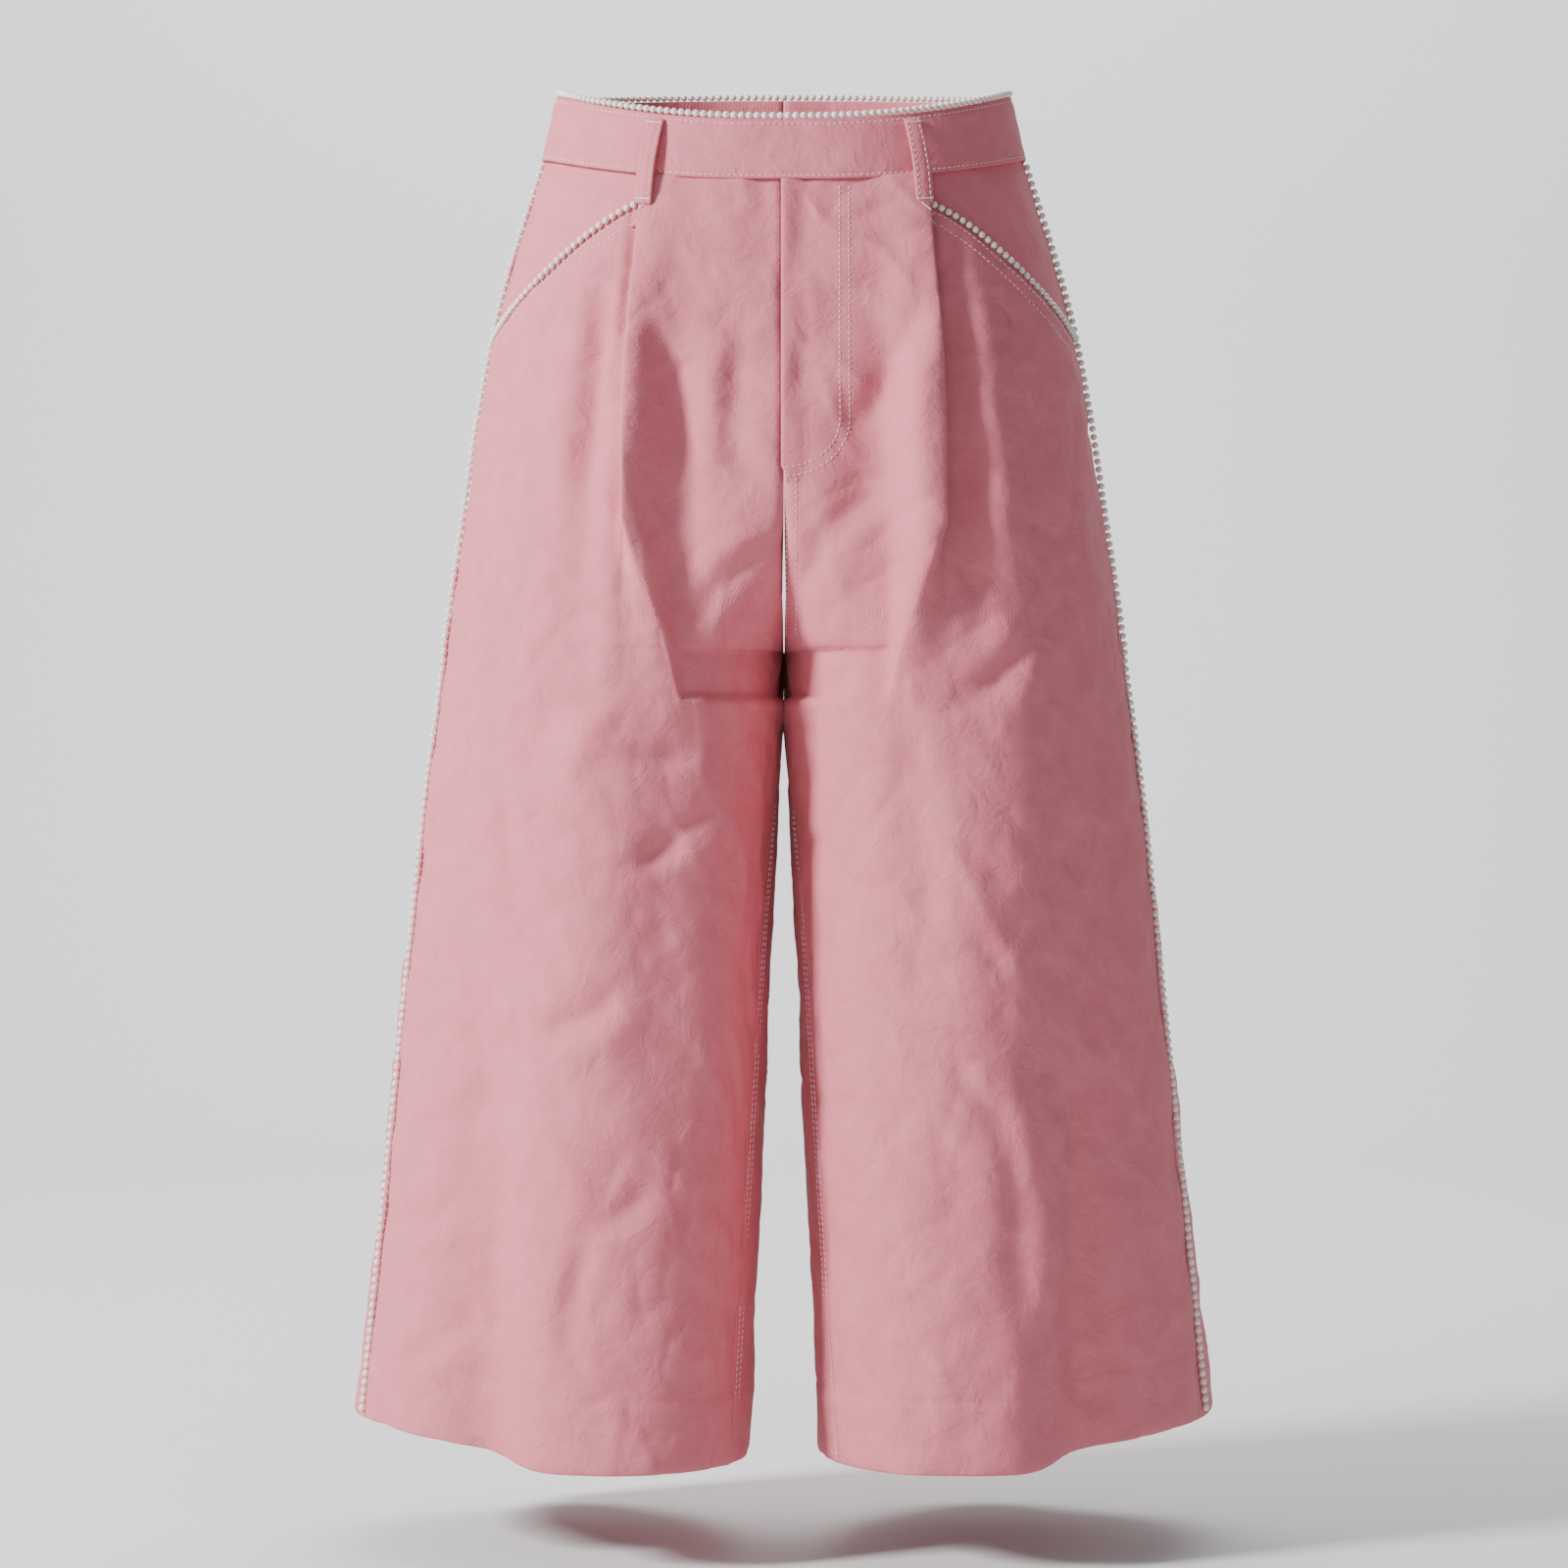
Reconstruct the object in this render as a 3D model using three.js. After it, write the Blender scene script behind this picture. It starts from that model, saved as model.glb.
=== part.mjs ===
// Pleated cotton culottes, worn and filled out, with pearl trim on the waist edge, side seams and pocket mouths.
//
// Millimetres. +Z is up, -Y is the front, +X is the wearer's left. The origin is the middle of the waistband's ring,
// where the wearer's waist holds the garment. Everything is worked out for the wearer's left half and mirrored.
//
// A "level" is a height read at the side seam. Each level has a plan outline made of four arcs: centre front (or inner
// leg) to front ridge, front ridge to the outermost point, outermost point to the seat line, and back to the centre.
// Cloth lies on that outline: s is the distance walked along it, n the distance outwards from it.
import * as THREE from "three";

const { lerp, clamp, smoothstep } = THREE.MathUtils;

// Cloth
const CLOTH = 1; // wall of one layer of cotton
const GAP = 0.3; // between neighbouring pieces at a seam
const LAYER = CLOTH + GAP; // from one layer to the next where cloth lies on cloth
const BAND_WALL = 2.4; // waistband: two layers and its stiffening
const LOOP_WALL = 2; // belt loop: cloth folded in three
const HEM_TURN = 37; // depth of the turned-up hem
const HEM_EXTRA = 1; // the turned-up layer inside it

// Heights at the side seam
const WAIST_TOP = 22;
const WAIST_SEAM = -14.4;
const CROTCH = -296;
const HEM = -727;

// The waist tips forwards, and the hem dips at the front and inner leg
const WAIST_DROP = 26;
const WAIST_LIFT = 13;
const TIP_POWER = 1.5;
const HEM_DROP = 17.5;
const HEM_DROP_FROM = 0.95; // share of the leg's width where the dip starts
const HEM_DROP_TO = 0.45; // and where it is full

// Crotch curves: quarter ellipses from the straight centre seams to the crotch point
const CROTCH_RISE = 96;
const CROTCH_Y = -8;
const FRONT_RECESS = 3; // how far the centre front seam lies behind the ridges

// Roundness of the arcs, as the share of a side that a Bezier handle takes
const ROUND = 0.5523;
const INNER_ROUND = 0.62;
const GENTLE = 1 / 3;

// One row a level: half width, depths, the x of the front ridge and of the seat line, y of the outermost point,
// half the gap between the legs, y of the innermost point, and the shares of the front arcs at which the side seam
// and the inseam lie.
const SHAPE = [
  { level: 22, wide: 127.5, front: 91, back: 92, ridge: 12, seat: 12, sideY: 0, gap: 0, innerY: -8, sideAt: 1, inseamAt: 0 },
  { level: -16, wide: 136.5, front: 96, back: 97, ridge: 18, seat: 16, sideY: 0, gap: 0, innerY: -8, sideAt: 1, inseamAt: 0 },
  { level: -56, wide: 149, front: 101, back: 108, ridge: 42, seat: 32, sideY: 0, gap: 0, innerY: -8, sideAt: 1, inseamAt: 0 },
  { level: -100, wide: 161.5, front: 106, back: 119, ridge: 66, seat: 50, sideY: 0, gap: 0, innerY: -8, sideAt: 1, inseamAt: 0 },
  { level: -146, wide: 171, front: 110, back: 126, ridge: 78, seat: 66, sideY: 2, gap: 0, innerY: -8, sideAt: 1, inseamAt: 0 },
  { level: -213, wide: 181, front: 114, back: 129, ridge: 86, seat: 80, sideY: 4, gap: 0, innerY: -8, sideAt: 0.945, inseamAt: 0 },
  { level: -296, wide: 193.5, front: 118, back: 127, ridge: 90, seat: 92, sideY: 7, gap: 0.7, innerY: -8, sideAt: 0.9, inseamAt: 0 },
  { level: -370, wide: 204.5, front: 121, back: 125, ridge: 92, seat: 100, sideY: 10, gap: 3.4, innerY: -13, sideAt: 0.86, inseamAt: 0.14 },
  { level: -450, wide: 214, front: 124, back: 125, ridge: 93, seat: 106, sideY: 13, gap: 7, innerY: -19, sideAt: 0.83, inseamAt: 0.24 },
  { level: -600, wide: 231, front: 129, back: 128, ridge: 95, seat: 114, sideY: 18, gap: 14, innerY: -28, sideAt: 0.8, inseamAt: 0.31 },
  { level: -727, wide: 246, front: 132, back: 132, ridge: 96, seat: 120, sideY: 20, gap: 20, innerY: -35, sideAt: 0.775, inseamAt: 0.35 },
];

// The front pleat, one row a level: x of its folded edge, how far it laps over itself (negative once it has opened
// into a slope) and how proud its edge stands.
const PLEAT = [
  { level: -14, x: 77, lap: 14, rise: 2.6 },
  { level: -60, x: 81, lap: 14, rise: 2.8 },
  { level: -100, x: 84.5, lap: 11, rise: 3.8 },
  { level: -146, x: 87, lap: 6, rise: 6 },
  { level: -190, x: 88, lap: -1, rise: 9 },
  { level: -235, x: 89, lap: -13, rise: 10 },
  { level: -285, x: 91, lap: -26, rise: 7 },
  { level: -340, x: 92, lap: -40, rise: 3 },
  { level: -400, x: 93, lap: -52, rise: 0.01 },
];
const PLEAT_RUN = 40; // width of the swell that leads up to the folded edge
const PLEAT_OPEN = 20; // opening at which the fold is a plain slope

// Large soft folds: a hollow (negative) or ridge along a line that runs from one x and level to another.
// side is 1 on the wearer's left, -1 on the right, 0 on both.
const FRONT_FOLDS = [
  { side: 0, x0: 166, level0: -240, x1: 172, level1: -800, half: 26, from: 0, to: -26 }, // outer hollow down the leg
  { side: 1, x0: 66, level0: -60, x1: 46, level1: -200, half: 15, from: -2, to: -5 }, // between fly and pleat
  { side: -1, x0: 62, level0: -90, x1: 56, level1: -260, half: 16, from: -3, to: -7 },
];
const BACK_FOLDS = [
  { side: 0, x0: 168, level0: -230, x1: 186, level1: -800, half: 30, from: 0, to: -14 },
  { side: 0, x0: 52, level0: -300, x1: 60, level1: -800, half: 26, from: 0, to: -7 },
];
const FOLD_ENDS = 45; // a fold fades out over this height past its ends

// Slanted pocket mouth, from the pleat to the side seam
const MOUTH_TOP = { x: 79, z: -52 };
const MOUTH_END = { x: 166.5, z: -122 };
const MOUTH_BEND = 1.3;
const MOUTH_BARE = { top: 6, end: 9 }; // no pearls this near its ends
const BEARER_SINK = LAYER + 0.7; // the bearer lies this far behind the front panel
const BEARER_UNDER = 9; // the bearer runs on below the mouth, and in behind the pleat
const PLEAT_HIDES = 3; // above the mouth the panel stops this far short of its folded edge

// Fly: the wearer's left front laps over the right one down to here
const FLY_END = -190;
const FLY_FOOT = 5; // below its end the edge is still lifted for this far
const FLY_LAP = 2;
const FLY_SWELL = 12;

// Belt loops: the x at which each stands at its top and foot, and its levels
const LOOP = { xTop: 69, xFoot: 76, top: 19, foot: -32, width: 10, bow: 3.4, straight: 0.75, settle: 0.2 };

// Pearl trim
const PEARL = 4;
const TUBE_SIDES = 6;
const POCKET_CLEAR = 0.2; // pocket pearls stand this much further from the panel's edge
const PEARL_CLEAR = 0.6; // side pearls stand this far off the cloth's facets

const LEVELS = [
  WAIST_SEAM - GAP, -24, -35, -47, -60, -75, -88, -98, -106, -111, -115, -118.5, -121.5, -124.5, -129, -142, -165, -188, -194,
  -200, -220, -240, -258, -272, -284, -292, CROTCH, -306, -330, -370, -420, -480, -550, -620, HEM + HEM_TURN + 2,
  HEM + HEM_TURN, HEM,
];
const COLUMNS = { centre: 7, side: 7, back: 12 };
const ARC_SAMPLES = 28;
const SAME = 1e-4; // points closer than this are one

const COTTON = { color: 0xd3848f, roughness: 0.9, metalness: 0 };
const PEARLS = { color: 0xe9dfd8, roughness: 0.3, metalness: 0 };

// ---- Tables ---------------------------------------------------------------------------------------------------

// A smooth reading of a table whose rows run from the highest level down, by cubic Hermite steps.
function read(table, level) {
  const last = table.length - 1;
  const at = clamp(level, table[last].level, table[0].level);
  let i = 0;
  while (i < last - 1 && at < table[i + 1].level) i++;
  const [a, b] = [table[i], table[i + 1]];
  const span = b.level - a.level;
  const t = (at - a.level) / span;
  const slope = (j, key) => {
    const [p, q] = [table[Math.max(j - 1, 0)], table[Math.min(j + 1, last)]];
    return (q[key] - p[key]) / (q.level - p.level);
  };
  const row = {};
  for (const key of Object.keys(a)) {
    const [ma, mb] = [slope(i, key) * span, slope(i + 1, key) * span];
    const [t2, t3] = [t * t, t * t * t];
    row[key] =
      (2 * t3 - 3 * t2 + 1) * a[key] + (t3 - 2 * t2 + t) * ma + (3 * t2 - 2 * t3) * b[key] + (t3 - t2) * mb;
  }
  row.level = level;
  return row;
}

// ---- Plan outline ---------------------------------------------------------------------------------------------

const flat = (x, y) => new THREE.Vector2(x, y);
const samples = (curve, from, to) =>
  Array.from({ length: ARC_SAMPLES + 1 }, (_, i) => curve.getPoint(lerp(from, to, i / ARC_SAMPLES)));

// An outline walked by distance. The cloth's outer side is on the right of the walk.
class Walk {
  constructor(...arcs) {
    this.points = arcs.flat().filter((p, i, all) => !i || p.distanceTo(all[i - 1]) > SAME);
    this.far = [0];
    for (let i = 1; i < this.points.length; i++)
      this.far.push(this.far[i - 1] + this.points[i].distanceTo(this.points[i - 1]));
    this.length = this.far.at(-1);
    this.ways = this.points.map((_, i) => this.#way(i));
  }
  #way(i) {
    const before = this.points[Math.max(i - 1, 0)];
    const after = this.points[Math.min(i + 1, this.points.length - 1)];
    return after.clone().sub(before).normalize();
  }
  // The point at distance s and the outward direction there; past either end the walk goes straight on.
  at(s) {
    let i = 1;
    while (i < this.points.length - 1 && this.far[i] < s) i++;
    const t = (s - this.far[i - 1]) / (this.far[i] - this.far[i - 1]);
    const way = this.ways[i - 1].clone().lerp(this.ways[i], clamp(t, 0, 1)).normalize();
    return { point: this.points[i - 1].clone().lerp(this.points[i], t), out: flat(way.y, -way.x) };
  }
  // The distance at which test() first turns positive, halving between from and to.
  find(test, from = 0, to = this.length) {
    let [low, high] = [from, to];
    for (let i = 0; i < 40; i++) {
      const mid = (low + high) / 2;
      if (test(this.at(mid).point) > 0) high = mid;
      else low = mid;
    }
    return high;
  }
}

const outlines = new Map();
function outline(level) {
  if (!outlines.has(level)) outlines.set(level, makeOutline(level));
  return outlines.get(level);
}

function makeOutline(level) {
  const row = read(SHAPE, level);
  const sideAt = Math.min(row.sideAt, 1);
  const inseamAt = Math.max(row.inseamAt, 0);
  const up = clamp((level - CROTCH) / CROTCH_RISE, 0, 1);
  const reach = Math.sqrt(1 - (1 - up) ** 2);
  const turn = (Math.PI / 2) * (1 - smoothstep(up, 0, 1));
  const legs = level <= CROTCH;
  const innerX = legs ? Math.max(row.gap, CLOTH / 2 + GAP / 2) : (CLOTH / 2) * Math.sin(turn) + GAP / 2;
  const front = flat(innerX, legs ? row.innerY : lerp(CROTCH_Y, FRONT_RECESS * (1 - up) - row.front, reach));
  const back = flat(innerX, legs ? row.innerY : lerp(CROTCH_Y, row.back, reach));
  const ridge = flat(row.ridge, -row.front);
  const seat = flat(row.seat, row.back);
  const side = flat(row.wide, row.sideY);

  // From a centre seam to the ridge or seat line: flat across the body, and a rounded corner at the inner leg.
  const inner = (from, to, sign) => {
    const bent = turn / (Math.PI / 2);
    const [dx, dy] = [to.x - from.x, Math.abs(to.y - from.y)];
    const first = lerp(dx * GENTLE, Math.max(dy, dx * GENTLE * (1 - bent)) * INNER_ROUND, bent);
    const start = flat(Math.cos(turn), sign * Math.sin(turn)).multiplyScalar(first).add(from);
    const end = flat(to.x - dx * lerp(GENTLE, INNER_ROUND, bent), to.y);
    return new THREE.CubicBezierCurve(from, start, end, to);
  };
  const outer = (from, to) =>
    new THREE.CubicBezierCurve(
      from,
      flat(lerp(from.x, to.x, ROUND), from.y),
      flat(to.x, lerp(to.y, from.y, ROUND)),
      to,
    );
  const frontInner = inner(front, ridge, -1);
  const frontOuter = outer(ridge, side);
  const backInner = inner(back, seat, 1);
  const backOuter = outer(seat, side);
  return {
    row,
    front: new Walk(samples(frontInner, inseamAt, 1), samples(frontOuter, 0, sideAt)),
    back: new Walk(
      samples(frontOuter, sideAt, 1),
      samples(backOuter, 1, 0),
      samples(backInner, 1, 0),
      ...(legs ? [samples(frontInner, 0, inseamAt)] : []),
    ),
  };
}

// ---- From the outline to the body -----------------------------------------------------------------------------

// How far a point of a level lies above its height at the side seam.
function drop(row, p) {
  const waist = clamp((row.level - CROTCH) / (WAIST_TOP - CROTCH), 0, 1);
  const tip = p.y < 0 ? -WAIST_DROP * (-p.y / row.front) ** TIP_POWER : WAIST_LIFT * (p.y / row.back) ** TIP_POWER;
  const leg = clamp((CROTCH - row.level) / (CROTCH - HEM), 0, 1);
  const across = (p.x - row.gap) / (row.wide - row.gap);
  return waist * tip - leg * HEM_DROP * (1 - smoothstep(across, HEM_DROP_TO, HEM_DROP_FROM));
}

function place(row, walk, s, n, side) {
  const { point, out } = walk.at(s);
  const z = row.level + drop(row, point);
  return new THREE.Vector3(side * (point.x + out.x * n), point.y + out.y * n, z);
}

function folds(table, side, level, x) {
  let sum = 0;
  for (const f of table) {
    if (f.side && f.side !== side) continue;
    const t = (level - f.level0) / (f.level1 - f.level0);
    const past = Math.max(level - f.level0, f.level1 - level, 0);
    const fade = 1 - smoothstep(past, 0, FOLD_ENDS);
    const off = (x - lerp(f.x0, f.x1, clamp(t, 0, 1))) / f.half;
    sum += lerp(f.from, f.to, clamp(t, 0, 1)) * Math.exp(-off * off) * fade;
  }
  return sum;
}

// A line in (s, n) moved sideways by a distance, with mitred corners.
function beside(line, distance) {
  const normal = (a, b) => flat(-(b.y - a.y), b.x - a.x).normalize();
  return line.map((p, i) => {
    const before = normal(line[Math.max(i - 1, 0)], line[Math.max(i, 1)]);
    const after = normal(line[Math.min(i, line.length - 2)], line[Math.min(i + 1, line.length - 1)]);
    const mean = before.clone().add(after).normalize();
    return mean.multiplyScalar(distance / Math.max(mean.dot(before), 0.5)).add(p);
  });
}

// ---- Solids ---------------------------------------------------------------------------------------------------

// A closed wall between two grids of points of the same shape, facing out whichever way they run.
function wall(outer, inner) {
  const [rows, columns] = [outer.length, outer[0].length];
  const points = [...outer.flat(), ...inner.flat()];
  const id = (layer, i, j) => layer * rows * columns + i * columns + j;
  const faces = [];
  const quad = (a, b, c, d) => faces.push([a, b, c], [a, c, d]);
  for (let i = 0; i < rows - 1; i++)
    for (let j = 0; j < columns - 1; j++) {
      quad(id(0, i, j), id(0, i + 1, j), id(0, i + 1, j + 1), id(0, i, j + 1));
      quad(id(1, i, j), id(1, i, j + 1), id(1, i + 1, j + 1), id(1, i + 1, j));
    }
  for (let i = 0; i < rows - 1; i++) {
    quad(id(0, i, 0), id(1, i, 0), id(1, i + 1, 0), id(0, i + 1, 0));
    quad(id(0, i, columns - 1), id(0, i + 1, columns - 1), id(1, i + 1, columns - 1), id(1, i, columns - 1));
  }
  for (let j = 0; j < columns - 1; j++) {
    quad(id(0, 0, j), id(0, 0, j + 1), id(1, 0, j + 1), id(1, 0, j));
    quad(id(0, rows - 1, j), id(1, rows - 1, j), id(1, rows - 1, j + 1), id(0, rows - 1, j + 1));
  }
  const volume = faces.reduce((v, [a, b, c]) => v + points[a].dot(points[b].clone().cross(points[c])), 0);
  const index = volume < 0 ? faces.flatMap(([a, b, c]) => [a, c, b]) : faces.flat();
  const geometry = new THREE.BufferGeometry().setFromPoints(points).setIndex(index);
  geometry.computeVertexNormals();
  return geometry;
}

function mesh(name, geometry, look) {
  const made = new THREE.Mesh(geometry, new THREE.MeshStandardMaterial({ ...look, name }));
  made.name = name;
  return made;
}

function pearlTube(points) {
  const ring = Array.from({ length: TUBE_SIDES }, (_, i) => {
    const a = (2 * Math.PI * i) / TUBE_SIDES;
    return flat(Math.cos(a), Math.sin(a)).multiplyScalar(PEARL / 2);
  });
  const extrudePath = new THREE.CatmullRomCurve3(points);
  return new THREE.ExtrudeGeometry(new THREE.Shape(ring), { extrudePath, steps: points.length - 1 });
}

// ---- Pieces ---------------------------------------------------------------------------------------------------

const mouthZ = (x) =>
  MOUTH_TOP.z - (MOUTH_TOP.z - MOUTH_END.z) * Math.max((x - MOUTH_TOP.x) / (MOUTH_END.x - MOUTH_TOP.x), 0) ** MOUTH_BEND;

const pleatEdge = (walk, pleat) => walk.find((p) => p.x - pleat.x);

// Where the front panel ends at a level: behind the pleat, at the pocket mouth, or at the side seam.
function frontEnd(row, walk, edge) {
  const above = (p) => row.level + drop(row, p) - mouthZ(p.x);
  if (above(walk.at(edge).point) > 0) return edge - PLEAT_HIDES;
  if (above(walk.at(walk.length).point) > 0) return walk.find(above, edge);
  return walk.length - GAP / 2;
}

function frontPanel(side) {
  const [outer, inner] = [[], []];
  for (const level of LEVELS) {
    const { row, front: walk } = outline(level);
    const pleat = read(PLEAT, level);
    const edge = pleatEdge(walk, pleat);
    const turnBack = edge - pleat.lap;
    const end = frontEnd(row, walk, edge);
    const start = side > 0 && level > FLY_END ? -FLY_LAP : GAP / 2;
    const lifted = side > 0 && level > FLY_END - FLY_FOOT;
    const rise = level > PLEAT.at(-1).level ? pleat.rise : 0;

    const line = [];
    const at = (s, n) => {
      const fly = lifted ? LAYER * (1 - smoothstep(s, 0, FLY_SWELL)) : 0;
      line.push(flat(s, n + fly + folds(FRONT_FOLDS, side, level, walk.at(s).point.x)));
    };
    for (let j = 0; j <= COLUMNS.centre; j++) {
      const s = lerp(start, edge, j / COLUMNS.centre);
      at(s, rise * smoothstep(s, edge - PLEAT_RUN, edge));
    }
    const open = smoothstep(-pleat.lap, 0, PLEAT_OPEN);
    at(lerp(edge, turnBack, GENTLE * open), lerp(rise - LAYER, rise * 0.75, open));
    at(lerp(turnBack, edge, GENTLE * open), lerp(LAYER, rise * 0.25, open));
    for (let j = 0; j <= COLUMNS.side; j++) at(lerp(turnBack, end, j / COLUMNS.side), 0);

    const hem = level <= HEM + HEM_TURN ? HEM_EXTRA : 0;
    const solid = (offset) => beside(line, offset).map((p) => place(row, walk, p.x, p.y, side));
    outer.push(solid(CLOTH / 2));
    inner.push(solid(-CLOTH / 2 - hem));
  }
  return wall(outer, inner);
}

function backPanel(side) {
  const [outer, inner] = [[], []];
  for (const level of LEVELS) {
    const { row, back: walk } = outline(level);
    const line = [];
    for (let j = 0; j <= COLUMNS.back; j++) {
      const s = lerp(GAP / 2, walk.length - GAP / 2, j / COLUMNS.back);
      const { point, out } = walk.at(s);
      const behind = smoothstep(out.y, 0, 0.6);
      line.push(flat(s, behind * folds(BACK_FOLDS, side, level, point.x)));
    }
    const hem = level <= HEM + HEM_TURN ? HEM_EXTRA : 0;
    const solid = (offset) => beside(line, offset).map((p) => place(row, walk, p.x, p.y, side));
    outer.push(solid(CLOTH / 2));
    inner.push(solid(-CLOTH / 2 - hem));
  }
  return wall(outer, inner);
}

// The hip piece that shows above the pocket mouth, one layer under the front panel.
function pocketBearer(side) {
  const [columns, rows] = [9, 5];
  const top = WAIST_SEAM - GAP;
  const footAt = (share) => {
    let [high, low] = [top, MOUTH_END.z - BEARER_UNDER];
    for (let i = 0; i < 30; i++) {
      const level = (high + low) / 2;
      const { row, front: walk } = outline(level);
      const { point } = walk.at(bearerS(walk, level, share));
      if (level + drop(row, point) > mouthZ(point.x) - BEARER_UNDER) high = level;
      else low = level;
    }
    return low;
  };
  const bearerS = (walk, level, share) =>
    lerp(pleatEdge(walk, read(PLEAT, level)) - BEARER_UNDER, walk.length - GAP / 2, share);
  const feet = Array.from({ length: columns + 1 }, (_, j) => footAt(j / columns));
  const [outer, inner] = [[], []];
  for (let i = 0; i <= rows; i++) {
    const cells = feet.map((foot, j) => {
      const level = lerp(top, foot, i / rows);
      const { row, front: walk } = outline(level);
      return { row, walk, s: bearerS(walk, level, j / columns) };
    });
    const layer = (n) =>
      cells.map(({ row, walk, s }) => {
        const fold = folds(FRONT_FOLDS, side, row.level, walk.at(s).point.x);
        return place(row, walk, s, n - BEARER_SINK + fold, side);
      });
    outer.push(layer(CLOTH / 2));
    inner.push(layer(-CLOTH / 2));
  }
  return wall(outer, inner);
}

// Every point of the waist at a level, from the centre back round the wearer's right side, front and left side.
function waistRing(level, n, steps, lift = 0) {
  const { row, front, back } = outline(level);
  const half = (side) => {
    const behind = Array.from({ length: steps }, (_, j) => [back, lerp(back.length, 0, j / steps)]);
    const ahead = Array.from({ length: steps + 1 }, (_, j) => [front, lerp(front.length, 0, j / steps)]);
    return [...behind, ...ahead].map(([walk, s]) => {
      const p = place(row, walk, s, n, side);
      p.z += lift;
      return p;
    });
  };
  const right = half(-1);
  const left = half(1).reverse();
  const centre = right.pop();
  left.shift();
  return [...right, centre.setX(0), ...left];
}

function waistband() {
  const steps = 14;
  const levels = [WAIST_TOP, lerp(WAIST_TOP, WAIST_SEAM, 1 / 3), lerp(WAIST_TOP, WAIST_SEAM, 2 / 3), WAIST_SEAM];
  return wall(
    levels.map((level) => waistRing(level, BAND_WALL, steps)),
    levels.map((level) => waistRing(level, 0, steps)),
  );
}

// A belt loop: a folded strip that bows clear of the band between its two sewn ends.
function beltLoop(side, part) {
  const [rows, columns] = [12, 2];
  const foot = part === "front" ? PLEAT[0].rise + CLOTH / 2 + GAP + LOOP_WALL / 2 + LOOP.settle : CLOTH / 2 + GAP + LOOP_WALL / 2;
  const head = BAND_WALL + GAP + LOOP_WALL / 2;
  const [outer, inner] = [[], []];
  for (let i = 0; i <= rows; i++) {
    const t = i / rows;
    const level = lerp(LOOP.top, LOOP.foot, t);
    const made = outline(level);
    const walk = made[part];
    const x = lerp(LOOP.xTop, LOOP.xFoot, t);
    const middle = part === "front" ? walk.find((p) => p.x - x) : walk.find((p) => x - p.x, walk.length / 2);
    const n = Math.max(lerp(head, foot, t), t < LOOP.straight ? head : 0) + LOOP.bow * Math.sin(Math.PI * t) ** 0.8;
    const strip = (offset) =>
      Array.from({ length: columns + 1 }, (_, j) =>
        place(made.row, walk, middle + LOOP.width * (j / columns - 0.5), n + offset, side),
      );
    outer.push(strip(LOOP_WALL / 2));
    inner.push(strip(-LOOP_WALL / 2));
  }
  return wall(outer, inner);
}

function waistPearls() {
  return pearlTube(waistRing(WAIST_TOP, BAND_WALL / 2, 15, GAP + PEARL / 2));
}

function sidePearls(side) {
  const steps = 52;
  const points = Array.from({ length: steps + 1 }, (_, i) => {
    const level = lerp(WAIST_SEAM - GAP - 1, HEM + 1, i / steps);
    const { row, back } = outline(level);
    return place(row, back, 0, CLOTH / 2 + PEARL_CLEAR + PEARL / 2, side);
  });
  return pearlTube(points);
}

// Along the pocket mouth, on the bearer and just above the panel's edge.
function pocketPearls(side) {
  const steps = 14;
  const aside = GAP + PEARL / 2 + POCKET_CLEAR;
  const points = Array.from({ length: steps + 1 }, (_, i) => {
    const x = lerp(MOUTH_TOP.x + MOUTH_BARE.top, MOUTH_END.x - MOUTH_BARE.end, i / steps);
    const slope = (mouthZ(x + 1) - mouthZ(x - 1)) / 2;
    const z = mouthZ(x) + aside / Math.hypot(1, slope);
    const level = levelOf(x - (slope * aside) / Math.hypot(1, slope), z);
    const { row, front: walk } = outline(level);
    const s = walk.find((p) => p.x - (x - (slope * aside) / Math.hypot(1, slope)));
    return place(row, walk, s, CLOTH / 2 - BEARER_SINK + GAP + PEARL / 2, side);
  });
  return pearlTube(points);
}

// The level whose front outline passes through x at height z.
function levelOf(x, z) {
  let [high, low] = [WAIST_SEAM, CROTCH];
  for (let i = 0; i < 30; i++) {
    const level = (high + low) / 2;
    const { row, front: walk } = outline(level);
    const { point } = walk.at(walk.find((p) => p.x - x));
    if (level + drop(row, point) > z) high = level;
    else low = level;
  }
  return low;
}

const culottes = new THREE.Group();
culottes.add(mesh("waistband", waistband(), COTTON));
culottes.add(mesh("waist_pearls", waistPearls(), PEARLS));
for (const [name, side] of Object.entries({ left: 1, right: -1 })) {
  culottes.add(mesh(`front_${name}`, frontPanel(side), COTTON));
  culottes.add(mesh(`back_${name}`, backPanel(side), COTTON));
  culottes.add(mesh(`pocket_bearer_${name}`, pocketBearer(side), COTTON));
  culottes.add(mesh(`belt_loop_front_${name}`, beltLoop(side, "front"), COTTON));
  culottes.add(mesh(`belt_loop_back_${name}`, beltLoop(side, "back"), COTTON));
  culottes.add(mesh(`side_pearls_${name}`, sidePearls(side), PEARLS));
  culottes.add(mesh(`pocket_pearls_${name}`, pocketPearls(side), PEARLS));
}

export default culottes;
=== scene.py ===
"""Pleated cotton culottes with pearl trim, worn and filled out.

Lengths in the tables are in millimetres in the garment's own frame: +Z up, -Y the front and
+X the wearer's left.
A level is a height read at the side seam. x in a table is measured from the middle towards either side.
"""

import math

import bpy
import numpy as np
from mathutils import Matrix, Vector, noise
from mathutils.bvhtree import BVHTree


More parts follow.
